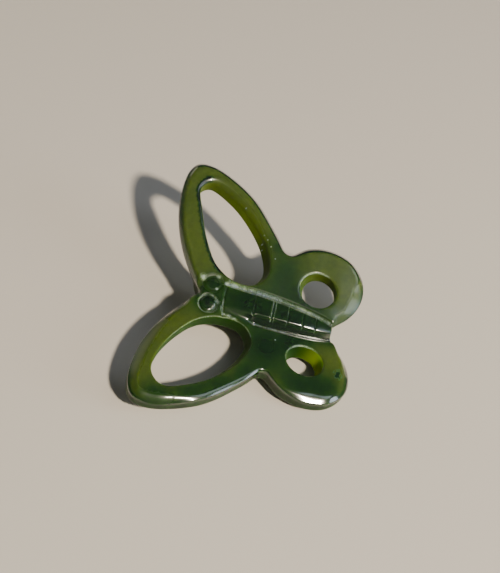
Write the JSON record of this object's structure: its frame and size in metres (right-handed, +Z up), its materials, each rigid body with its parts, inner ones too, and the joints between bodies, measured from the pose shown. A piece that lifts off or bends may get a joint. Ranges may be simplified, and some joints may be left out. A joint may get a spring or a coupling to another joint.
{
  "type": "jade butterfly pendant",
  "caption": "Carved openwork butterfly of green jade, hung on a cord through a wing opening, lying loose.",
  "frame": {"origin": "on the surface that the pendant lies on, under the middle of its box", "axes": "+Y towards the butterfly's head, +X towards the raised wing, +Z up"},
  "size_m": [0.0472, 0.0378, 0.0174],
  "materials": {
    "nephrite": "polished, slightly translucent"
  },
  "bodies": {
    "root": {"jade_butterfly": "nephrite"}
  },
  "joints": []
}
